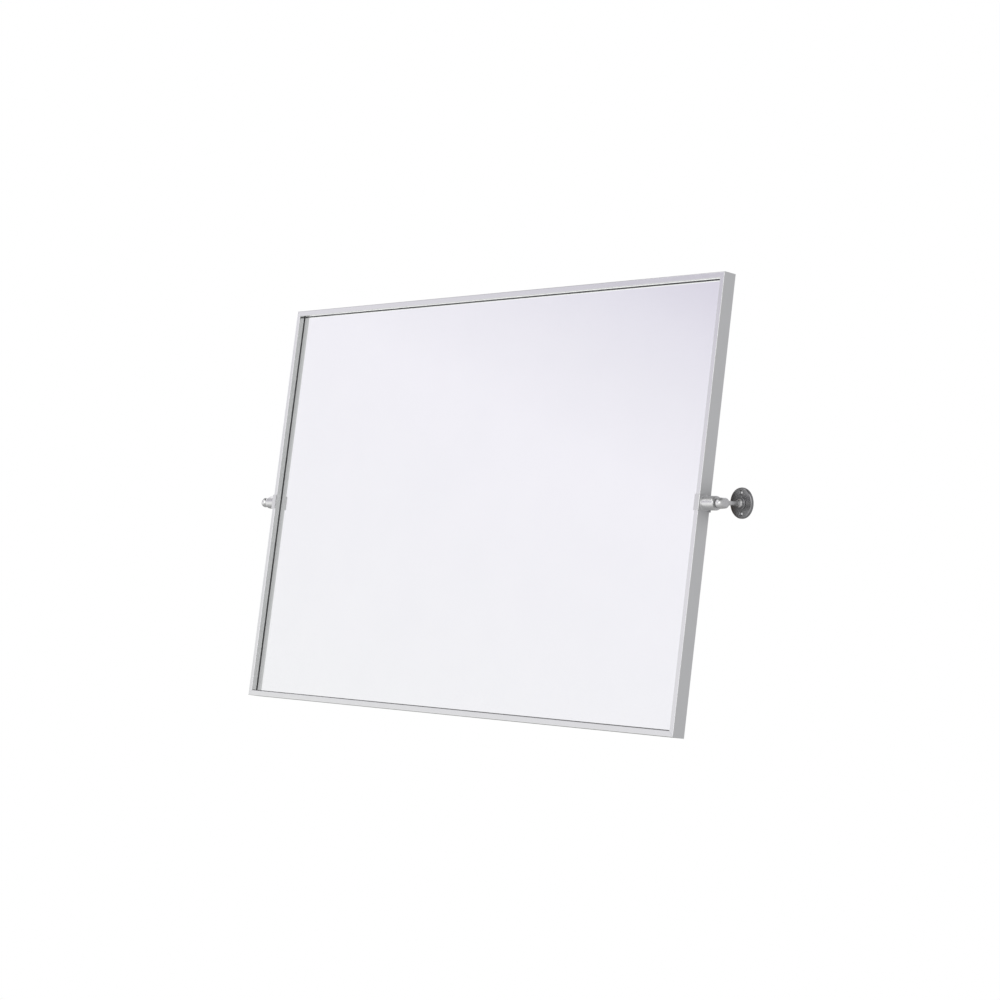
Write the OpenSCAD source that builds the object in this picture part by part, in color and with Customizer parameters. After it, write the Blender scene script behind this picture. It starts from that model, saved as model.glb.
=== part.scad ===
// Pivot wall mirror: a slim framed pane that tilts between two round wall plates.
// Millimetres. The origin lies on the wall plane, midway between the two wall plates, at the height of
// the pivot axis. X runs to the viewer's right, Y into the wall, Z up.

/* [Mirror panel] */
// Width of the frame, outside
frame_w = 1219.2; // [900:0.1:1400]
// Height of the frame, outside
frame_h = 762; // [500:0.1:900]
// Width of the frame's front face
face_w = 10; // [9:0.1:14]
// Depth from the front face to the glass
glass_recess = 10; // [7:0.1:12]
// Thickness of the glass
glass_t = 4; // [3:0.1:6]
// Thickness of the silver coating with its paint
coating_t = 0.2; // [0.1:0.1:0.5]
// Thickness of the backing board
board_t = 3; // [2:0.1:6]
// Gap round the pane, between its edge and the frame's outer wall
pane_gap = 1.2; // [0.5:0.1:2.5]
// Angle by which the top leans back
lean_back = 8.8; // [0:0.1:12]

/* [Frame profile] */
// Thickness of the profile's outer wall and front box
wall_t = 1.8; // [1.2:0.1:2.4]
// Rounding of the profile's long outer edges
edge_round = 1; // [0.3:0.1:1.5]
// Depth of the rear hardware channel
channel_d = 6; // [5:0.1:9]
// How much narrower the rear channel is than the front face
channel_step = 0.5; // [0:0.1:1]
// Thickness of the channel's web, inner leg and rear lips
channel_t = 1.2; // [0.8:0.1:1.6]
// Reach of each rear lip over the channel
channel_lip = 1.4; // [0.8:0.1:2]

/* [Corner angles and spring clips] */
// Length of a corner angle's leg
angle_leg = 45; // [30:1:80]
// Thickness of a corner angle
angle_t = 2.4; // [1.5:0.1:3]
// Clearance of a plate between the channel's walls
plate_gap = 0.25; // [0.1:0.05:0.4]
// Diameter of a corner screw
corner_screw_d = 3.5; // [2.5:0.1:3.6]
// Distance of a corner screw from the end of its leg
corner_screw_in = 9; // [5:0.5:12]
// Space behind the board that a spring clip fills
clip_gap = 2.2; // [1.5:0.1:4]
// Thickness of a spring clip
clip_t = 0.5; // [0.3:0.1:0.8]
// Length of a spring clip
clip_len = 50; // [30:1:80]
// Number of spring clips along each rail
clips_per_rail = 4; // [2:1:6]
// Number of spring clips along each stile
clips_per_stile = 3; // [1:2:5]

/* [Saddles] */
// Height of the saddle clip
saddle_h = 26.6; // [26:0.1:40]
// Thickness of the saddle's plate and lips
saddle_t = 1.8; // [1.5:0.1:3]
// Rounding of the saddle's outer edges
saddle_round = 1.4; // [0.5:0.1:1.5]
// Length of the spigot that the barrel screws onto
spigot_len = 9; // [5:0.5:12]
// Diameter of the tool hole through the spigot
tool_hole_d = 8; // [5:0.5:10]
// Diameter of a saddle screw
saddle_screw_d = 3; // [2:0.1:3.4]
// Diameter of a saddle screw's head
saddle_screw_head_d = 5.4; // [4.5:0.1:6]
// Distance between the two saddle screws
saddle_screw_pitch = 14; // [10:0.5:18]
// Thickness of the nut plate in the rear channel
nut_plate_t = 2.6; // [1.5:0.1:3]
// Length of the nut plate
nut_plate_len = 24; // [20:0.5:40]

/* [Barrels] */
// Diameter of the barrel
barrel_d = 23.6; // [18:0.1:24.5]
// Length of the barrel
barrel_len = 28.1; // [24:0.1:40]
// Diameter of the barrel's bore
barrel_bore_d = 15; // [13:0.1:16]
// Thickness of the barrel's end wall
end_wall_t = 4.2; // [2:0.1:6]
// Radius of the hollow flare at the barrel's root
root_flare = 1.1; // [0.4:0.1:1.4]
// Height of the straight rim below the flare
root_rim = 0.6; // [0.3:0.1:1.5]
// Radius of the curve at the barrel's shoulder
shoulder_r = 6; // [3:0.1:9]
// How much the shoulder narrows the barrel's radius
shoulder_drop = 1; // [0.5:0.1:2.5]

/* [Pivot] */
// Diameter of the pivot bolt's shoulder
pivot_d = 7; // [5:0.1:8]
// Diameter of the pivot bolt's thread
pivot_thread_d = 6; // [4:0.1:6]
// Length of the pivot bolt's thread
pivot_thread_len = 10; // [7:0.1:11]
// Diameter of the pivot bolt's head
pivot_head_d = 12; // [10:0.1:12.5]
// Height of the pivot bolt's head
pivot_head_h = 4; // [3:0.1:5]
// Width of the hexagon socket in the head, across its corners
socket_d = 5.8; // [3:0.1:7]
// Depth of the hexagon socket in the head
socket_depth = 2.5; // [1:0.1:3]
// Radial running gap between the shoulder and what turns on it
running_gap = 0.05; // [0.02:0.01:0.1]
// Thickness of the friction washer
friction_washer_t = 0.7; // [0.4:0.1:1.5]
// Diameter of the friction washer
friction_washer_d = 14.4; // [12:0.1:16]
// Thickness of the spring washer
spring_washer_t = 1.2; // [0.6:0.1:2]
// Diameter of the spring washer
spring_washer_d = 12.6; // [10:0.1:12.6]

/* [Wall brackets] */
// Distance from the wall plate's face to the pivot axis
standoff = 41.7; // [35:0.1:80]
// Diameter of the knuckle's domed front
knuckle_d = 18.4; // [17:0.1:22]
// Diameter to which the knuckle tapers at its back
knuckle_back_d = 17.2; // [16:0.1:22]
// Reach of the knuckle in front of the pivot axis
knuckle_front = 11.5; // [11.5:0.1:16]
// Reach of the knuckle behind the pivot axis
knuckle_back = 10.3; // [10:0.1:16]
// Rounding of the knuckle's back edge
knuckle_round = 3.4; // [0.5:0.1:4.2]
// How far the knuckle's flat seat stands out of its side
seat_out = 0.4; // [0.3:0.1:1.5]
// Diameter of the knuckle's flat seat
seat_d = 14; // [12:0.1:15.5]
// Diameter of the post
post_d = 7.4; // [6:0.1:9]
// Depth of the post's socket in the knuckle
post_socket = 5.8; // [4:0.1:6]
// Depth of the post's socket in the wall plate
post_seat = 3; // [1.5:0.1:3.6]
// Gap between pieces that are screwed or pressed together
fit_gap = 0.05; // [0.02:0.01:0.1]

/* [Wall plates] */
// Diameter of the wall plate
plate_d = 50.8; // [46:0.1:70]
// Thickness of the wall plate
plate_t = 4.5; // [4:0.1:8]
// Rounding of the wall plate's front edge
plate_round = 2.2; // [0.5:0.1:3]
// Diameter of the raised boss in the middle
boss_d = 22.8; // [19:0.1:25]
// Height of the raised boss
boss_h = 2; // [1:0.1:4]
// Rounding of the boss's edge
boss_round = 1; // [0.3:0.1:1]
// Distance between the two wall screw holes, one above the other
hole_pitch = 34.4; // [33.8:0.1:36]
// Diameter of a wall screw hole
hole_d = 5; // [4:0.1:6]
// Diameter of a wall screw hole's countersink
countersink_d = 8; // [6.5:0.1:8.8]
// Diameter of the collar where it meets the boss
collar_d = 13.4; // [12:0.1:17]
// Height of the collar
collar_h = 6; // [3:0.1:6.2]
// Height of the collar's straight rim
collar_rim = 1.2; // [0.5:0.1:2]
// Wall of the collar where it ends on the post
collar_wall = 0.6; // [0.4:0.1:1.5]
// Diameter of the post screw
post_screw_d = 4; // [3:0.1:4.6]
// Diameter of the post screw's head
post_screw_head_d = 7; // [6:0.1:8]
// Length of the post screw
post_screw_len = 14; // [10:0.5:25]
// Depth of the post screw's head below the plate's back
head_recess = 0.3; // [0.1:0.1:0.5]

/* [Hidden] */

// Smoothness of round forms
round_fn = 64;
// Depth of the sockets in the small screws, and their width as a part of the screw's diameter
screw_socket_depth = 1.2;
socket_part = 0.6;
// Overshoot of a cut past the face it opens
cut = 1;

// Depths behind the front face, where one layer of the panel ends and the next begins
glass_back = glass_recess + glass_t;
coating_back = glass_back + coating_t;
board_back = coating_back + board_t;
web_front = board_back + clip_gap;
web_back = web_front + channel_t;
frame_d = web_front + channel_d;
lips_front = frame_d - channel_t;

// The rear channel's inside width, and the middle of its slot, from the frame's outer face
channel_w = face_w - channel_step;
channel_in = channel_w - wall_t - channel_t;
slot_mid = wall_t + channel_in / 2;
plate_w = channel_in - 2 * plate_gap;
clip_w = plate_w;

// The pane's outline
pane_w = frame_w - 2 * (wall_t + pane_gap);
pane_h = frame_h - 2 * (wall_t + pane_gap);

// Places along the pivot axis, outward from the frame's side
barrel_root = saddle_t;
barrel_end = barrel_root + barrel_len;
washer_end = barrel_end + friction_washer_t;
post_x = washer_end + seat_out + knuckle_d / 2;
bore_end = barrel_end - end_wall_t;
head_face = bore_end - spring_washer_t;

// Places along the post's axis, from the pivot axis towards the wall
axis_out = standoff + plate_t;
boss_face = standoff - boss_h;

// Half the shoulder curve's length along the barrel
shoulder_len = sqrt(2 * shoulder_r * shoulder_drop - shoulder_drop * shoulder_drop);

silver = [0.78, 0.78, 0.79];
satin = [0.70, 0.70, 0.71];
steel = [0.55, 0.56, 0.58];
dark_steel = [0.34, 0.34, 0.36];

// ---- Placing ----

// Panel frame: the pivot axis is its X axis, and its Y runs from the front face to the back.
module in_panel() {
    translate([0, -axis_out, 0])
        rotate([-lean_back, 0, 0])
            translate([0, -frame_d / 2, 0])
                children();
}

// One side of the frame: X points outward from the outer face, which lies at zero.
module at_side(angle, out) {
    in_panel()
        rotate([0, angle, 0])
            translate([out, 0, 0])
                children();
}

module at_right() at_side(0, frame_w / 2) children();
module at_top() at_side(-90, frame_h / 2) children();
module at_left() at_side(180, frame_w / 2) children();
module at_bottom() at_side(90, frame_h / 2) children();

// The pivot axis beside the right stile, then the same for both sides
module on_axis_right() {
    translate([frame_w / 2, -axis_out, 0]) children();
}

module on_axis_left() {
    mirror([1, 0, 0]) on_axis_right() children();
}

// What turns with the panel is leaned back with it.
module leaned() {
    rotate([-lean_back, 0, 0]) children();
}

// Turns a form made along Z onto X, or onto Y towards the wall.
module along_x() {
    rotate([0, 90, 0]) children();
}

module along_y() {
    rotate([-90, 0, 0]) children();
}

module rod(d, len) {
    cylinder(d = d, h = len, $fn = round_fn);
}

// ---- Frame ----

// A rectangle from the origin with chosen corners rounded, in a plane
module rounded_corner_cut(r) {
    difference() {
        translate([-r, -r]) square([r + cut, r + cut]);
        translate([-r, -r]) circle(r = r, $fn = 48);
    }
}

// Section of a frame member: X is minus the distance from the outer face, Y the depth from the front.
module frame_section() {
    difference() {
        union() {
            // outer wall
            translate([-wall_t, 0]) square([wall_t, frame_d]);
            // front box, which the glass rests against
            difference() {
                translate([-face_w, 0]) square([face_w, glass_recess]);
                translate([-face_w + wall_t, wall_t])
                    square([face_w - 2 * wall_t, glass_recess - 2 * wall_t]);
            }
            // web in front of the hardware channel
            translate([-channel_w, web_front]) square([channel_w, channel_t]);
            // inner leg of the channel
            translate([-channel_w, web_front]) square([channel_t, channel_d]);
            // rear lips, one on each side of the slot
            translate([-wall_t - channel_lip, lips_front])
                square([wall_t + channel_lip, channel_t]);
            translate([-channel_w, lips_front])
                square([channel_t + channel_lip, channel_t]);
        }
        // rounded edges: outer front, inner front, outer rear
        translate([0, 0]) mirror([0, 1]) rounded_corner_cut(edge_round);
        translate([-face_w, 0]) mirror([1, 0]) mirror([0, 1]) rounded_corner_cut(edge_round);
        translate([0, frame_d]) rounded_corner_cut(edge_round);
    }
}

// Everything past the mitre at the top end of a member
module mitre_cut(len) {
    reach = 3 * face_w;
    translate([0, 0, len / 2])
        rotate([0, -45, 0])
            translate([-reach, -cut, 0])
                cube([2 * reach, frame_d + 2 * cut, reach]);
}

// A mitred member along Z, its outer face at X zero
module frame_member(len) {
    color(silver)
        difference() {
            linear_extrude(len, center = true) frame_section();
            mitre_cut(len);
            mirror([0, 0, 1]) mitre_cut(len);
        }
}

module frame_top_rail() at_top() frame_member(frame_w);
module frame_bottom_rail() at_bottom() frame_member(frame_w);
module frame_left_stile() at_left() frame_member(frame_h);
module frame_right_stile() at_right() frame_member(frame_h);

// ---- Corner joints ----

// Brings its children to the four corners of the rear channel, legs running inward along -X and -Z.
module at_corners() {
    for (sx = [-1, 1])
        for (sz = [-1, 1])
            in_panel()
                scale_sign(sx, sz)
                    translate([frame_w / 2 - slot_mid, 0, frame_h / 2 - slot_mid])
                        children();
}

// Mirrors its children to the left for a negative sx and to the bottom for a negative sz.
module scale_sign(sx, sz) {
    mirror([sx < 0 ? 1 : 0, 0, 0])
        mirror([0, 0, sz < 0 ? 1 : 0])
            children();
}

// Where the two screws of one angle stand, measured from the corner of its legs' centre lines
module at_corner_screws() {
    reach = angle_leg - plate_w / 2 - corner_screw_in;
    for (p = [[-reach, 0], [0, -reach]])
        translate([p[0], 0, p[1]])
            children();
}

module corner_angle() {
    half = plate_w / 2;
    difference() {
        union() {
            translate([half - angle_leg, lips_front - angle_t, -half])
                cube([angle_leg, angle_t, plate_w]);
            translate([-half, lips_front - angle_t, half - angle_leg])
                cube([plate_w, angle_t, angle_leg]);
        }
        at_corner_screws()
            translate([0, lips_front - angle_t - cut, 0])
                along_y() rod(corner_screw_d + 2 * fit_gap, angle_t + 2 * cut);
    }
}

module corner_angles() {
    color(steel) at_corners() corner_angle();
}

// Set screws, which press on the channel's web and hold the angle against the rear lips
module corner_screws() {
    color(dark_steel)
        at_corners()
            at_corner_screws()
                translate([0, web_back, 0])
                    difference() {
                        along_y() rod(corner_screw_d, lips_front - web_back);
                        translate([0, (lips_front - web_back) / 2, 0])
                            along_y()
                                cylinder(d = corner_screw_d * socket_part, h = lips_front, $fn = 6);
                    }
}

// ---- Pane and backing ----

module layer(front, back) {
    in_panel()
        translate([-pane_w / 2, front, -pane_h / 2])
            cube([pane_w, back - front, pane_h]);
}

module mirror_glass() {
    color([0.86, 0.87, 0.91]) layer(glass_recess, glass_back);
}

module silver_coating() {
    color([0.75, 0.76, 0.80]) layer(glass_back, coating_back);
}

module backing_board() {
    color([0.55, 0.43, 0.30]) layer(coating_back, board_back);
}

// A bowed strip along Z. Its ends rest on the board, and its middle on the channel's web.
module spring_clip() {
    bow = clip_gap - clip_t - plate_gap / 2;
    outer_r = (clip_len * clip_len / 4 + bow * bow) / (2 * bow);
    translate([-slot_mid - clip_w / 2, board_back + plate_gap / 4 + bow + clip_t - outer_r - clip_t, 0])
        intersection() {
            difference() {
                along_x() cylinder(r = outer_r + clip_t, h = clip_w, $fn = 180);
                translate([-cut, 0, 0]) along_x() cylinder(r = outer_r, h = clip_w + 2 * cut, $fn = 180);
            }
            translate([0, 0, -clip_len / 2]) cube([clip_w, outer_r + 2 * clip_t, clip_len]);
        }
}

// Clips spread evenly along a member of the given length
module clip_row(len, count) {
    for (i = [0 : count - 1])
        translate([0, 0, len * ((i + 0.5) / count - 0.5)])
            spring_clip();
}

module spring_clips() {
    color(steel) {
        at_top() clip_row(frame_w, clips_per_rail);
        at_bottom() clip_row(frame_w, clips_per_rail);
        at_left() clip_row(frame_h, clips_per_stile);
        at_right() clip_row(frame_h, clips_per_stile);
    }
}

// ---- Saddles ----

module at_saddle_screws() {
    for (s = [-1, 1])
        translate([-slot_mid, 0, s * saddle_screw_pitch / 2])
            children();
}

// Section of the clip: X zero is the stile's outer face, Y zero its front face.
module saddle_section() {
    difference() {
        translate([-face_w, -saddle_t])
            square([face_w + saddle_t, frame_d + 2 * saddle_t]);
        translate([-face_w - cut, 0]) square([face_w + cut, frame_d]);
        translate([saddle_t, -saddle_t]) mirror([0, 1]) rounded_corner_cut(saddle_round);
        translate([saddle_t, frame_d + saddle_t]) rounded_corner_cut(saddle_round);
    }
}

// A countersunk screw seen as a solid: the head's face at Y zero, the shank towards +Y
module countersunk_form(d, head_d, len) {
    head_h = (head_d - d) / 2;
    along_y() {
        cylinder(d1 = head_d, d2 = d, h = head_h, $fn = round_fn);
        rod(d, len);
    }
}

module saddle_screw_form(gap) {
    at_saddle_screws()
        translate([0, frame_d + saddle_t, 0])
            mirror([0, 1, 0])
                countersunk_form(
                    saddle_screw_d + 2 * gap,
                    saddle_screw_head_d + 2 * gap,
                    saddle_t + channel_t + nut_plate_t
                );
}

module saddle() {
    color(satin)
        difference() {
            union() {
                linear_extrude(saddle_h, center = true) saddle_section();
                translate([saddle_t - cut / 2, frame_d / 2, 0])
                    along_x() rod(barrel_bore_d - 2 * fit_gap, spigot_len + cut / 2);
            }
            translate([-cut, frame_d / 2, 0])
                along_x() rod(tool_hole_d, saddle_t + spigot_len + 2 * cut);
            saddle_screw_form(fit_gap);
        }
}

module saddle_screws() {
    color(dark_steel)
        difference() {
            saddle_screw_form(0);
            at_saddle_screws()
                translate([0, frame_d + saddle_t - screw_socket_depth, 0])
                    along_y()
                        cylinder(d = saddle_screw_d * socket_part, h = screw_socket_depth + cut, $fn = 6);
        }
}

module nut_plate() {
    color(steel)
        difference() {
            translate([-slot_mid - plate_w / 2, lips_front - nut_plate_t, -nut_plate_len / 2])
                cube([plate_w, nut_plate_t, nut_plate_len]);
            at_saddle_screws()
                translate([0, lips_front - nut_plate_t - cut, 0])
                    along_y() rod(saddle_screw_d + 2 * fit_gap, nut_plate_t + 2 * cut);
        }
}

module left_saddle() at_left() saddle();
module left_nut_plate() at_left() nut_plate();
module left_saddle_screws() at_left() saddle_screws();
module right_saddle() at_right() saddle();
module right_nut_plate() at_right() nut_plate();
module right_saddle_screws() at_right() saddle_screws();

// ---- Barrels ----

// Half section of the barrel: X is the radius, Y the distance from its root.
module barrel_section() {
    r = barrel_d / 2;
    difference() {
        union() {
            square([r, barrel_len - shoulder_len]);
            // shoulder, curved down to the end face
            intersection() {
                translate([r - shoulder_r, barrel_len - shoulder_len])
                    circle(r = shoulder_r, $fn = 96);
                translate([0, barrel_len - shoulder_len]) square([r, shoulder_len]);
            }
            // flare at the root
            difference() {
                square([r + root_flare, root_rim + root_flare]);
                translate([r + root_flare, root_rim + root_flare])
                    circle(r = root_flare, $fn = 48);
            }
        }
        translate([-cut, -cut]) square([barrel_bore_d / 2 + cut, barrel_len - end_wall_t + cut]);
        translate([-cut, 0]) square([pivot_d / 2 + running_gap + cut, barrel_len + cut]);
    }
}

module barrel() {
    color(satin)
        leaned()
            translate([barrel_root, 0, 0])
                along_x() rotate_extrude($fn = 96) barrel_section();
}

module left_barrel() on_axis_left() barrel();
module right_barrel() on_axis_right() barrel();

// ---- Pivots ----

module washer(d, hole_d, t) {
    difference() {
        rod(d, t);
        translate([0, 0, -cut]) rod(hole_d, t + 2 * cut);
    }
}

// Shoulder bolt: its head lies in the barrel's bore, its thread ends in the knuckle.
module pivot_bolt() {
    color(steel)
        difference() {
            union() {
                translate([head_face - pivot_head_h, 0, 0])
                    along_x() rod(pivot_head_d, pivot_head_h);
                translate([head_face, 0, 0])
                    along_x() rod(pivot_d, washer_end - head_face);
                translate([washer_end, 0, 0])
                    along_x() rod(pivot_thread_d, pivot_thread_len);
            }
            translate([head_face - pivot_head_h - cut, 0, 0])
                along_x() cylinder(d = socket_d, h = socket_depth + cut, $fn = 6);
        }
}

module friction_washer() {
    color([0.16, 0.16, 0.17])
        translate([barrel_end, 0, 0])
            along_x() washer(friction_washer_d, pivot_d + 2 * fit_gap, friction_washer_t);
}

module spring_washer() {
    color(dark_steel)
        translate([head_face, 0, 0])
            along_x() washer(spring_washer_d, pivot_d + 2 * fit_gap, spring_washer_t);
}

module left_pivot_bolt() on_axis_left() pivot_bolt();
module left_friction_washer() on_axis_left() friction_washer();
module left_spring_washer() on_axis_left() spring_washer();
module right_pivot_bolt() on_axis_right() pivot_bolt();
module right_friction_washer() on_axis_right() friction_washer();
module right_spring_washer() on_axis_right() spring_washer();

// ---- Wall brackets ----

// Half section of the knuckle: X is the radius, Y the distance behind the pivot axis.
module knuckle_section() {
    r = knuckle_d / 2;
    front = r - knuckle_front;
    back_r = knuckle_back_d / 2;
    round_y = knuckle_back - knuckle_round;
    intersection() {
        union() {
            translate([0, front]) circle(r = r, $fn = 96);
            // side, which tapers from the dome to the rounded back edge
            polygon([[0, front], [r, front], [back_r, round_y], [0, round_y]]);
            translate([back_r - knuckle_round, round_y]) circle(r = knuckle_round, $fn = 64);
            translate([0, front]) square([back_r - knuckle_round, knuckle_back - front]);
        }
        translate([0, -knuckle_front - cut]) square([r + cut, knuckle_front + knuckle_back + cut]);
    }
}

module knuckle() {
    color(satin)
        translate([post_x, 0, 0])
            difference() {
                union() {
                    along_y() rotate_extrude($fn = 96) knuckle_section();
                    mirror([1, 0, 0]) along_x() rod(seat_d, knuckle_d / 2 + seat_out);
                }
                translate([0, knuckle_back - post_socket, 0])
                    along_y() rod(post_d + 2 * fit_gap, post_socket + cut);
                translate([washer_end - post_x - cut, 0, 0])
                    along_x() rod(pivot_thread_d + 2 * fit_gap, pivot_thread_len + fit_gap + cut);
            }
}

module post() {
    start = knuckle_back - post_socket;
    end = boss_face + post_seat;
    color(satin)
        translate([post_x, start, 0])
            difference() {
                along_y() rod(post_d, end - start);
                translate([0, axis_out - head_recess - post_screw_len - start, 0])
                    along_y() rod(post_screw_d + 2 * fit_gap, post_screw_len);
            }
}

// Half section of the wall plate: X is the radius, Y the distance from the wall.
module wall_plate_section() {
    r = plate_d / 2;
    difference() {
        square([r, plate_t]);
        translate([r, plate_t]) rounded_corner_cut(plate_round);
    }
    difference() {
        square([boss_d / 2, plate_t + boss_h]);
        translate([boss_d / 2, plate_t + boss_h]) rounded_corner_cut(boss_round);
    }
}

module wall_plate() {
    color(dark_steel)
        translate([post_x, axis_out, 0])
            difference() {
                mirror([0, 1, 0]) along_y() rotate_extrude($fn = 128) wall_plate_section();
                // socket of the post
                translate([0, -plate_t - boss_h - cut, 0])
                    along_y() rod(post_d + 2 * fit_gap, post_seat + cut);
                // post screw, from the back
                translate([0, -head_recess, 0])
                    mirror([0, 1, 0])
                        countersunk_form(
                            post_screw_d + 2 * fit_gap,
                            post_screw_head_d + 2 * fit_gap,
                            plate_t + boss_h
                        );
                translate([0, -head_recess, 0])
                    along_y() rod(post_screw_head_d + 2 * fit_gap, head_recess + cut);
                // wall screw holes, one above and one below the post
                for (s = [-1, 1])
                    translate([0, 0, s * hole_pitch / 2]) {
                        translate([0, -plate_t - cut, 0])
                            along_y() rod(hole_d, plate_t + 2 * cut);
                        translate([0, -plate_t, 0])
                            along_y()
                                cylinder(
                                    d1 = countersink_d,
                                    d2 = hole_d,
                                    h = (countersink_d - hole_d) / 2,
                                    $fn = round_fn
                                );
                    }
            }
}

// Half section of the collar: X is the radius, Y the height above the boss.
module collar_section() {
    bore_r = post_d / 2 + fit_gap;
    drop = collar_d / 2 - bore_r - collar_wall;
    rise = collar_h - collar_rim;
    // a hollow curve that leaves the rim and runs out along the post
    flare_r = (rise * rise + drop * drop) / (2 * drop);
    difference() {
        translate([bore_r, 0]) square([collar_d / 2 - bore_r, collar_h]);
        translate([bore_r + collar_wall + flare_r, collar_h]) circle(r = flare_r, $fn = 96);
    }
}

module post_collar() {
    color(dark_steel)
        translate([post_x, boss_face, 0])
            mirror([0, 1, 0]) along_y() rotate_extrude($fn = 96) collar_section();
}

module post_screw() {
    color(steel)
        translate([post_x, axis_out - head_recess, 0])
            difference() {
                mirror([0, 1, 0])
                    countersunk_form(post_screw_d, post_screw_head_d, post_screw_len);
                translate([0, -screw_socket_depth, 0])
                    along_y()
                        cylinder(d = post_screw_d * socket_part, h = screw_socket_depth + cut, $fn = 6);
            }
}

module left_wall_plate() on_axis_left() wall_plate();
module left_post_collar() on_axis_left() post_collar();
module left_post() on_axis_left() post();
module left_post_screw() on_axis_left() post_screw();
module left_knuckle() on_axis_left() knuckle();
module right_wall_plate() on_axis_right() wall_plate();
module right_post_collar() on_axis_right() post_collar();
module right_post() on_axis_right() post();
module right_post_screw() on_axis_right() post_screw();
module right_knuckle() on_axis_right() knuckle();

// ---- Assembly ----

frame_top_rail();
frame_bottom_rail();
frame_left_stile();
frame_right_stile();
corner_angles();
corner_screws();
mirror_glass();
silver_coating();
backing_board();
spring_clips();
left_saddle();
left_nut_plate();
left_saddle_screws();
left_barrel();
right_saddle();
right_nut_plate();
right_saddle_screws();
right_barrel();
left_wall_plate();
left_post_collar();
left_post();
left_post_screw();
left_knuckle();
left_pivot_bolt();
left_friction_washer();
left_spring_washer();
right_wall_plate();
right_post_collar();
right_post();
right_post_screw();
right_knuckle();
right_pivot_bolt();
right_friction_washer();
right_spring_washer();
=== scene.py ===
"""The looks of a pivot wall mirror: its finishes, its silvering and a plain studio round it."""

import math

import bmesh
import bpy
from mathutils import Matrix, Vector


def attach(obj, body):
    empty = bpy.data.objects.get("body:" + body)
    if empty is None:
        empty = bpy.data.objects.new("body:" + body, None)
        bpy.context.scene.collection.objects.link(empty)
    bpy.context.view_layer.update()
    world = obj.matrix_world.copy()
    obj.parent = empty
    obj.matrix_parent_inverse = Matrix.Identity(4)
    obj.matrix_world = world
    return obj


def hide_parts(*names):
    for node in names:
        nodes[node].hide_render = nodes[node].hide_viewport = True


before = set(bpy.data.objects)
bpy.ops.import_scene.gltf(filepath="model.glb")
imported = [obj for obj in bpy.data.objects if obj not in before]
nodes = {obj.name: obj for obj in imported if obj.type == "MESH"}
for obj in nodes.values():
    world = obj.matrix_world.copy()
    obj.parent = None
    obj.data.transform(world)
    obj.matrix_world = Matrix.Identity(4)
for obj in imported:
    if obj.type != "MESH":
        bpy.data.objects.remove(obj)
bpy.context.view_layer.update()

# Sizes of the solids that the looks need, in metres
PIVOT_Y = -0.0462                  # the axis that the mirror tilts about
LEAN = math.radians(8.8)           # how far the panel leans back at rest
FRAME_W = 1.2192
FRAME_H = 0.762
FRAME_D = 0.0254
FACE_W = 0.010                     # the frame's front face, seen square on
PANE_W = 1.2132
PANE_H = 0.756
COATING_FRONT = 0.014              # from the frame's front face to the coating's front and back
COATING_BACK = 0.0142
POST_X = FRAME_W / 2 + 0.0402      # the axis of a post and its wall plate
OUTER_FACE_X = FRAME_W / 2 - 0.0005  # past this is the outer face of a stile

# Sizes that belong to the looks alone, in metres
SHADE_BAND_W = 0.0014                    # painted shade: a dark band along the edge of the silvering, for the shadow gap between frame and pane
SINK = 0.00005                     # how far the silvering is sunk into the glass
FILM_BEVEL = 0.00005
FLOOR_R = 1.5
FLOOR_Z = -1.2

# Colours of the finishes, two of them with painted shade in them
FRAME_COLOR = (0.757, 0.761, 0.76)
BRACKET_COLOR = (0.70, 0.70, 0.70)
# the wall plates are darker than the other metals: partly their own darker finish, partly painted
# shade for the dark surroundings they reflect
PLATE_COLOR_AND_SHADE = (0.29, 0.29, 0.295)
# painted shade: the colour of the dark band round the silvering's edge
SHADE_BAND_COLOR = (0.08, 0.08, 0.083)
ZINC_COLOR = (0.60, 0.61, 0.63)
SCREW_COLOR = (0.40, 0.40, 0.41)

# Grain of the metals, in repeats per metre
LINES_ACROSS = 3200                # brushed lines of the frame, across and along them
LINES_ALONG = 45
EVEN_GRAIN = 1500                  # the same each way, on the saddles
RINGS = 4200.0                     # turned rings of the bracket, and how slowly they vary round it
RINGS_ROUND = 60.0


# ---------- node helpers ----------

def new_material(name):
    mat = bpy.data.materials.new(name)
    mat.use_nodes = True
    tree = mat.node_tree
    bsdf = tree.nodes["Principled BSDF"]
    return mat, tree, bsdf


def add(tree, kind, inputs=None, **props):
    """A new node. An input is linked where its value is a socket, and set otherwise."""
    node = tree.nodes.new(kind)
    for key, value in props.items():
        setattr(node, key, value)
    for key, value in (inputs or {}).items():
        if isinstance(value, bpy.types.NodeSocket):
            tree.links.new(value, node.inputs[key])
        else:
            node.inputs[key].default_value = value
    return node


def math_node(tree, op, a, b=None):
    inputs = {0: a} if b is None else {0: a, 1: b}
    return add(tree, "ShaderNodeMath", inputs, operation=op).outputs[0]


def weighted(tree, first, share, second):
    """The sum of two values, of which the first has this share."""
    return math_node(tree, "ADD", math_node(tree, "MULTIPLY", first, share),
                     math_node(tree, "MULTIPLY", second, 1 - share))


def object_coords(tree, rotation=(0, 0, 0), scale=(1, 1, 1)):
    coords = add(tree, "ShaderNodeTexCoord")
    mapping = add(tree, "ShaderNodeMapping", {
        "Vector": coords.outputs["Object"], "Rotation": rotation, "Scale": scale})
    return mapping.outputs["Vector"]


def object_axes(tree):
    """X, Y and Z of a point on the object."""
    coords = add(tree, "ShaderNodeTexCoord")
    axes = add(tree, "ShaderNodeSeparateXYZ", {"Vector": coords.outputs["Object"]})
    return axes.outputs[0], axes.outputs[1], axes.outputs[2]


def noise(tree, vector, scale, detail=3.0, rough=0.5):
    node = add(tree, "ShaderNodeTexNoise", {
        "Vector": vector, "Scale": scale, "Detail": detail, "Roughness": rough})
    return node.outputs["Fac"]


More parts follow.
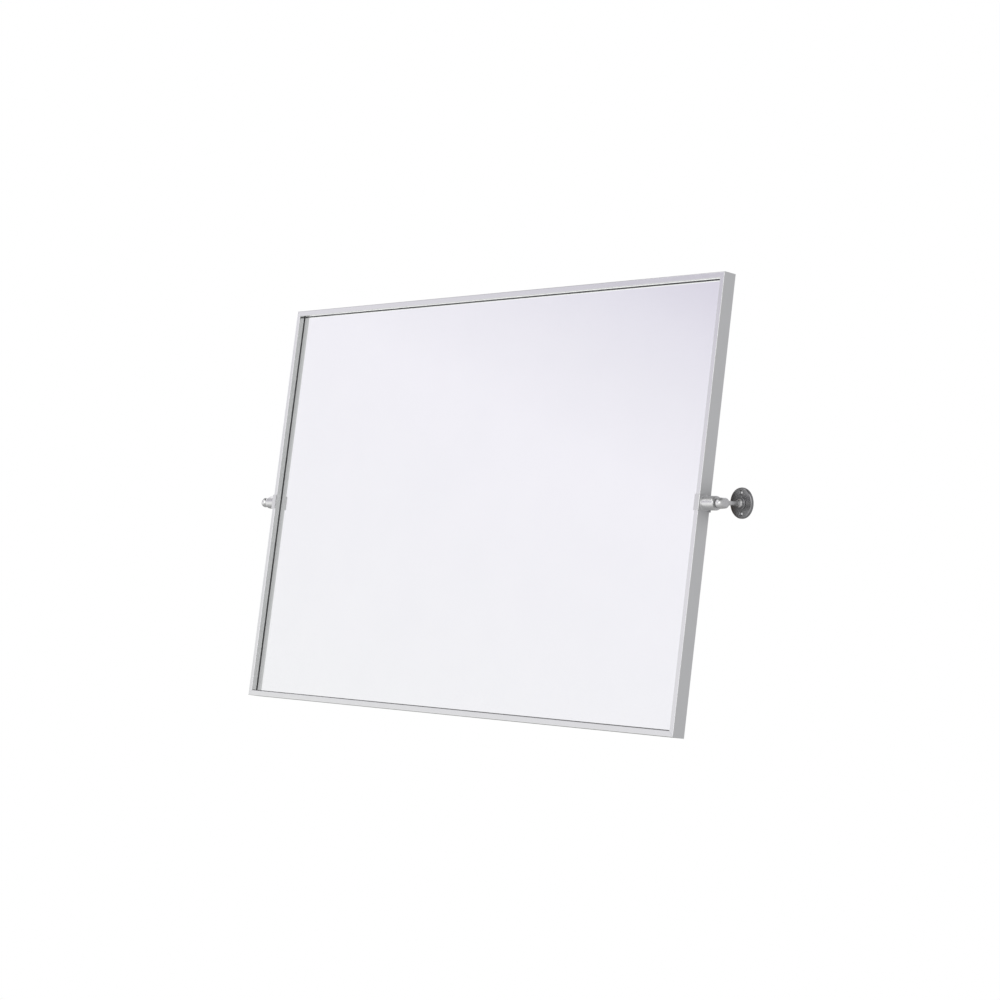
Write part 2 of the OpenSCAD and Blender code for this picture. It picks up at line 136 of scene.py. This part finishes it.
def remap(tree, value, low, high, from_low=0.3, from_high=0.7):
    """From low to high as the value goes from from_low to from_high, and no further."""
    node = add(tree, "ShaderNodeMapRange", {
        "Value": value, "From Min": from_low, "From Max": from_high,
        "To Min": low, "To Max": high}, clamp=True)
    return node.outputs["Result"]


def ramp(tree, value, stops):
    """A colour that goes through the stops, each a value from 0 to 1 and a colour."""
    node = add(tree, "ShaderNodeValToRGB", {"Fac": value})
    elements = node.color_ramp.elements
    while len(elements) < len(stops):
        elements.new(0.5)
    for element, (pos, color) in zip(elements, stops):
        element.position = pos
        element.color = (*color, 1.0)
    return node.outputs["Color"]


def blend(tree, factor, low, high):
    """The colour low where the factor is 0 and the plain colour high where it is 1."""
    # a Mix node has sockets for each kind of data: 6, 7 and output 2 are those for colours
    node = add(tree, "ShaderNodeMix", {0: factor, 6: low, 7: (*high, 1.0)}, data_type="RGBA")
    return node.outputs[2]


def grey(value):
    return (value, value, value)


def tint(color, factor):
    return tuple(c * factor for c in color)


def mottle(tree, pattern, color, spread):
    """A metal's colour, darker and lighter by this spread as the pattern goes."""
    return ramp(tree, pattern, [(0.3, tint(color, 1 - spread)), (0.7, tint(color, 1 + spread))])


def satin_roughness(tree, pattern, rough):
    return remap(tree, pattern, rough - 0.05, rough + 0.06)


def soft_edge(tree, radius, samples):
    return add(tree, "ShaderNodeBevel", {"Radius": radius}, samples=samples).outputs["Normal"]


def cover(tree, bsdf, color, roughness, height, strength, depth, normal=None):
    """Give a surface its colour, its roughness and a relief of this depth, in metres."""
    tree.links.new(color, bsdf.inputs["Base Color"])
    tree.links.new(roughness, bsdf.inputs["Roughness"])
    relief = add(tree, "ShaderNodeBump", {
        "Height": height, "Strength": strength, "Distance": depth})
    if normal is not None:
        tree.links.new(normal, relief.inputs["Normal"])
    tree.links.new(relief.outputs["Normal"], bsdf.inputs["Normal"])


# ---------- materials ----------

def satin_metal(name, color, rough, grain_rotation, grain_scale,
                bump=0.12, edge=0.0005, outer_rough=None):
    """Satin metal with fine lines along the axis that has the least grain_scale.

    The outer faces of the stiles have a roughness of their own where outer_rough gives one.
    """
    mat, tree, bsdf = new_material(name)
    grain_at = object_coords(tree, grain_rotation, grain_scale)
    lines = noise(tree, grain_at, scale=1.0, detail=4.0, rough=0.6)
    cloud = noise(tree, object_coords(tree), scale=28.0)
    both = weighted(tree, lines, 0.65, cloud)
    shade = mottle(tree, both, color, spread=0.03)
    roughness = satin_roughness(tree, both, rough)
    if outer_rough is not None:
        x, _, _ = object_axes(tree)
        outer = math_node(tree, "GREATER_THAN", math_node(tree, "ABSOLUTE", x), OUTER_FACE_X)
        roughness = math_node(
            tree, "ADD", roughness, math_node(tree, "MULTIPLY", outer, outer_rough - rough))
    bsdf.inputs["Metallic"].default_value = 1.0
    cover(tree, bsdf, shade, roughness, lines, strength=bump, depth=0.00004,
          normal=soft_edge(tree, edge, samples=6))
    return mat


def turned_metal(name, color, rough, along, spread=0.03):
    """Metal turned on a lathe: fine rings round the axis of each post, along Y, or round the
    pivot axis, along X."""
    mat, tree, bsdf = new_material(name)
    x, y, z = object_axes(tree)
    side = math_node(tree, "SUBTRACT", math_node(tree, "ABSOLUTE", x), POST_X)
    if along == "Y":
        across, axial = side, y
    else:
        across, axial = math_node(tree, "SUBTRACT", y, PIVOT_Y), side
    square = math_node(tree, "ADD", math_node(tree, "MULTIPLY", across, across),
                       math_node(tree, "MULTIPLY", z, z))
    radius = math_node(tree, "SQRT", square)
    place = add(tree, "ShaderNodeCombineXYZ", {
        0: math_node(tree, "MULTIPLY", radius, RINGS),
        1: math_node(tree, "MULTIPLY", axial, RINGS),
        2: math_node(tree, "MULTIPLY", z, RINGS_ROUND)})
    rings = noise(tree, place.outputs[0], scale=1.0, rough=0.6)
    cloud = noise(tree, object_coords(tree), scale=160.0)
    both = weighted(tree, rings, 0.6, cloud)
    shade = mottle(tree, both, color, spread)
    roughness = satin_roughness(tree, both, rough)
    bsdf.inputs["Metallic"].default_value = 1.0
    cover(tree, bsdf, shade, roughness, rings, strength=0.12, depth=0.00003,
          normal=soft_edge(tree, 0.00025, samples=4))
    return mat


def zinc_metal(name, color, rough):
    """Zinc-plated steel with its small crystals."""
    mat, tree, bsdf = new_material(name)
    at = object_coords(tree)
    cells = add(tree, "ShaderNodeTexVoronoi", {"Vector": at, "Scale": 420.0}, feature="F1")
    # each cell's colour as one number
    tone = remap(tree, cells.outputs["Color"], 0.0, 1.0, from_low=0.0, from_high=1.0)
    fine = noise(tree, at, scale=1800.0, detail=2.0)
    both = weighted(tree, tone, 0.5, fine)
    shade = ramp(tree, both, [(0.2, tint(color, 0.86)), (0.8, tint(color, 1.1))])
    roughness = remap(tree, both, rough - 0.08, rough + 0.1, from_low=0.2, from_high=0.8)
    bsdf.inputs["Metallic"].default_value = 1.0
    cover(tree, bsdf, shade, roughness, fine, strength=0.15, depth=0.00003)
    return mat


def glass_material():
    mat, tree, bsdf = new_material("clear_glass")
    wave = noise(tree, object_coords(tree), scale=6.0, detail=1.0)
    shade = ramp(tree, wave, [(0.35, (0.985, 0.995, 0.99)), (0.65, (0.99, 0.998, 0.994))])
    tree.links.new(shade, bsdf.inputs["Base Color"])
    bsdf.inputs["Roughness"].default_value = 0.0
    bsdf.inputs["IOR"].default_value = 1.52
    bsdf.inputs["Transmission Weight"].default_value = 1.0
    return mat


def silver_material():
    """The silvering, with a band of painted shade round its edge that shows as a dark line along
    the frame, where the shadow gap between frame and pane falls.
    """
    mat, tree, bsdf = new_material("silver_film")
    x, _, _ = object_axes(tree)
    at = add(tree, "ShaderNodeTexCoord").outputs["Object"]
    # how far a point is up the leaning panel from its middle, then how far into the painted shade
    # band it is
    up = (0.0, math.sin(LEAN), math.cos(LEAN))
    along_up = add(tree, "ShaderNodeVectorMath", {0: at, 1: up}, operation="DOT_PRODUCT")
    rise = math_node(tree, "SUBTRACT", along_up.outputs["Value"], PIVOT_Y * math.sin(LEAN))
    past_side = math_node(tree, "SUBTRACT", math_node(tree, "ABSOLUTE", x),
                          FRAME_W / 2 - FACE_W - SHADE_BAND_W)
    past_rail = math_node(tree, "SUBTRACT", math_node(tree, "ABSOLUTE", rise),
                          FRAME_H / 2 - FACE_W - SHADE_BAND_W)
    past_either = math_node(tree, "MAXIMUM", past_side, past_rail)
    shade_band = math_node(tree, "GREATER_THAN", past_either, 0.0)
    cloud = noise(tree, at, scale=9.0, detail=2.0)
    shade = ramp(tree, cloud, [(0.3, (0.955, 0.955, 0.96)), (0.7, (0.965, 0.965, 0.968))])
    # painted shade: inside the band round the edge the silvering turns dark, dull and not metallic
    tree.links.new(blend(tree, shade_band, shade, SHADE_BAND_COLOR), bsdf.inputs["Base Color"])
    tree.links.new(math_node(tree, "SUBTRACT", 1.0, shade_band), bsdf.inputs["Metallic"])
    tree.links.new(math_node(tree, "MULTIPLY", shade_band, 0.5), bsdf.inputs["Roughness"])
    return mat


def board_material():
    """Brown hardboard, with fibres and darker flecks."""
    mat, tree, bsdf = new_material("hardboard")
    at = object_coords(tree)
    fibre = noise(tree, at, scale=900.0, detail=4.0, rough=0.65)
    flecks = noise(tree, at, scale=160.0, detail=5.0, rough=0.7)
    both = weighted(tree, fibre, 0.5, flecks)
    shade = ramp(tree, both, [
        (0.32, (0.17, 0.10, 0.055)), (0.5, (0.25, 0.155, 0.088)), (0.68, (0.34, 0.225, 0.13))])
    roughness = remap(tree, both, 0.55, 0.8)
    cover(tree, bsdf, shade, roughness, fibre, strength=0.35, depth=0.00012)
    return mat


def nylon_material():
    mat, tree, bsdf = new_material("grey_nylon")
    grain = noise(tree, object_coords(tree), scale=2600.0, detail=2.0)
    shade = ramp(tree, grain, [(0.3, (0.08, 0.08, 0.082)), (0.7, (0.13, 0.13, 0.133))])
    roughness = remap(tree, grain, 0.45, 0.6)
    cover(tree, bsdf, shade, roughness, grain, strength=0.2, depth=0.00003)
    return mat


rail_metal = satin_metal("rail_satin", FRAME_COLOR, 0.12, (0, 0, 0),
                         (LINES_ALONG, LINES_ACROSS, LINES_ACROSS))
stile_metal = satin_metal("stile_satin", FRAME_COLOR, 0.13, (LEAN, 0, 0),
                          (LINES_ACROSS, LINES_ACROSS, LINES_ALONG), outer_rough=0.5)
saddle_metal = satin_metal("saddle_satin", BRACKET_COLOR, 0.30, (0, 0, 0),
                           (EVEN_GRAIN, EVEN_GRAIN, EVEN_GRAIN), bump=0.08, edge=0.0003)
barrel_metal = turned_metal("barrel_satin", BRACKET_COLOR, 0.28, "X")
post_metal = turned_metal("post_satin", BRACKET_COLOR, 0.28, "Y")
plate_metal = turned_metal("plate_satin", PLATE_COLOR_AND_SHADE, 0.21, "Y", spread=0.06)
zinc = zinc_metal("zinc_steel", ZINC_COLOR, 0.38)
screw_steel = zinc_metal("screw_steel", SCREW_COLOR, 0.32)
glass = glass_material()
silver = silver_material()
board = board_material()
nylon = nylon_material()

LOOKS = {
    "frame_top_rail": rail_metal, "frame_bottom_rail": rail_metal,
    "frame_left_stile": stile_metal, "frame_right_stile": stile_metal,
    "corner_angles": zinc, "spring_clips": zinc, "corner_screws": screw_steel,
    "mirror_glass": glass, "silver_coating": silver, "backing_board": board,
}
# the pieces that come once at each side
SIDE_LOOKS = {
    "saddle": saddle_metal, "nut_plate": zinc, "saddle_screws": screw_steel,
    "barrel": barrel_metal, "wall_plate": plate_metal, "post_collar": post_metal,
    "post": post_metal, "post_screw": zinc, "knuckle": post_metal,
    "pivot_bolt": screw_steel, "friction_washer": nylon, "spring_washer": zinc,
}
for side in ("left", "right"):
    for piece, look in SIDE_LOOKS.items():
        LOOKS[f"{side}_{piece}"] = look

for name, obj in nodes.items():
    look = LOOKS[name]
    if not obj.material_slots:
        obj.data.materials.append(look)
    for slot in obj.material_slots:
        slot.material = look


# ---------- silvering, sunk a hair into the glass so that the two don't share a face ----------

def panel_matrix():
    """From the panel's own frame, with Y from the front face to the back, to the part's."""
    return (Matrix.Translation((0, PIVOT_Y, 0)) @ Matrix.Rotation(-LEAN, 4, "X")
            @ Matrix.Translation((0, -FRAME_D / 2, 0)))


def slab(name, low, high, bevel):
    """A box with rounded edges, given by two corners in the panel's own frame."""
    mesh = bpy.data.meshes.new(name)
    bm = bmesh.new()
    bmesh.ops.create_cube(bm, size=1.0)
    for v in bm.verts:
        v.co = Vector(low[i] + (v.co[i] + 0.5) * (high[i] - low[i]) for i in range(3))
    bmesh.ops.bevel(bm, geom=bm.edges[:], offset=bevel, segments=2, affect="EDGES")
    bm.transform(panel_matrix())
    bm.to_mesh(mesh)
    bm.free()
    obj = bpy.data.objects.new(name, mesh)
    bpy.context.scene.collection.objects.link(obj)
    return obj


film = slab(
    "silver_film",
    (-PANE_W / 2, COATING_FRONT - SINK, -PANE_H / 2),
    (PANE_W / 2, COATING_BACK, PANE_H / 2),
    FILM_BEVEL,
)
film.data.materials.append(silver)
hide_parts("silver_coating")
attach(film, "mirror_panel")


# ---------- floor ----------

def floor_material():
    mat, tree, bsdf = new_material("pale_floor")
    cloud = noise(tree, object_coords(tree), scale=3.0)
    shade = ramp(tree, cloud, [(0.3, grey(0.79)), (0.7, grey(0.81))])
    tree.links.new(shade, bsdf.inputs["Base Color"])
    bsdf.inputs["Roughness"].default_value = 0.9
    return mat


bpy.ops.mesh.primitive_circle_add(
    vertices=96, radius=FLOOR_R, fill_type="NGON", location=(0, 0, FLOOR_Z))
floor = bpy.context.active_object
floor.name = "floor"
floor.data.materials.append(floor_material())


# ---------- world ----------

# The studio that metal and glass reflect: a bright sweep below, a pale wall that darkens towards
# its top, and a dim ceiling. Each stop is a height along SWEEP_UP, from 0 to 1, and a colour.
SWEEP_UP = (0.1458, -0.197, 1.0)
SWEEP = [
    (0.05, grey(0.35)), (0.20, grey(0.50)), (0.34, grey(0.90)), (0.43, grey(1.15)),
    (0.515, grey(1.25)), (0.53, (0.94, 0.94, 0.95)), (0.6125, (0.934, 0.915, 0.973)),
    (0.629, (0.874, 0.853, 0.92)), (0.64, (0.823, 0.80, 0.88)), (0.6525, (0.725, 0.695, 0.793)),
    (0.68, (0.62, 0.605, 0.65)), (0.75, grey(0.44)), (0.90, grey(0.32)), (1.0, grey(0.22)),
]
# Patches on it: a direction, how close to it (as a cosine) the patch begins and is full, a colour
PATCHES = [
    ((0.777, -0.629, 0.0), 0.3, 0.9, grey(0.70)),            # the side that the camera stands on
    ((0.777, 0.629, 0.0), 0.1, 0.7, (0.575, 0.575, 0.59)),   # beyond the mirror's right end
    ((-0.717, 0.664, -0.21), 0.75, 0.97, grey(0.25)),        # the dark behind its left end
    ((0.2, -0.94, 0.2756), 0.91, 0.965, grey(2.0)),          # a wide softbox in front
]
SOFT_LIGHT = 0.55                  # the even light that falls on everything


def build_world():
    world = bpy.data.worlds.new("studio")
    bpy.context.scene.world = world
    world.use_nodes = True
    tree = world.node_tree
    tree.nodes.clear()
    direction = add(tree, "ShaderNodeTexCoord").outputs["Generated"]

    def along(vector):
        dot = add(tree, "ShaderNodeVectorMath", {0: direction, 1: vector}, operation="DOT_PRODUCT")
        return dot.outputs["Value"]

    height = remap(tree, along(SWEEP_UP), 0.0, 1.0, -1.0, 1.0)
    studio = ramp(tree, height, SWEEP)
    for centre, begins, full, color in PATCHES:
        share = remap(tree, along(centre), 0.0, 1.0, begins, full)
        studio = blend(tree, share, studio, color)

    def light(color, strength):
        return add(tree, "ShaderNodeBackground", {"Color": color, "Strength": strength}).outputs[0]

    white = (1, 1, 1, 1)
    path = add(tree, "ShaderNodeLightPath")
    shiny = math_node(tree, "MAXIMUM", path.outputs["Is Glossy Ray"],
                      path.outputs["Is Transmission Ray"])
    lit = add(tree, "ShaderNodeMixShader", {
        0: shiny, 1: light(white, SOFT_LIGHT), 2: light(studio, 1.0)})
    shown = add(tree, "ShaderNodeMixShader", {
        0: path.outputs["Is Camera Ray"], 1: lit.outputs[0], 2: light(white, 1.0)})
    out = add(tree, "ShaderNodeOutputWorld")
    tree.links.new(shown.outputs[0], out.inputs["Surface"])


build_world()


# ---------- lamps ----------

def area_lamp(name, place, size, radiance):
    """A square lamp of this side that faces the middle of the mirror."""
    data = bpy.data.lights.new(name, "AREA")
    data.shape = "SQUARE"
    data.size = size
    data.energy = radiance * math.pi * size * size
    lamp = bpy.data.objects.new(name, data)
    lamp.location = place
    lamp.rotation_euler = (-Vector(place)).to_track_quat("-Z", "Y").to_euler()
    bpy.context.scene.collection.objects.link(lamp)


area_lamp("key", (-1.6, -2.4, 2.6), size=2.0, radiance=1.1)
area_lamp("fill", (-3.2, 0.4, 0.9), size=1.4, radiance=1.0)


# ---------- camera, at the photograph's angle ----------

cam_data = bpy.data.cameras.new("camera")
cam_data.sensor_width = 36.0
cam_data.lens = 97.25
cam_data.shift_y = -0.04
cam_data.clip_start = 0.05
cam = bpy.data.objects.new("camera", cam_data)
cam.location = (3.7988, -3.0560, 0.0050)
cam.rotation_euler = (math.radians(90.85), 0.0, math.radians(50.99))
bpy.context.scene.collection.objects.link(cam)
bpy.context.scene.camera = cam

bpy.context.scene.view_settings.view_transform = "Standard"
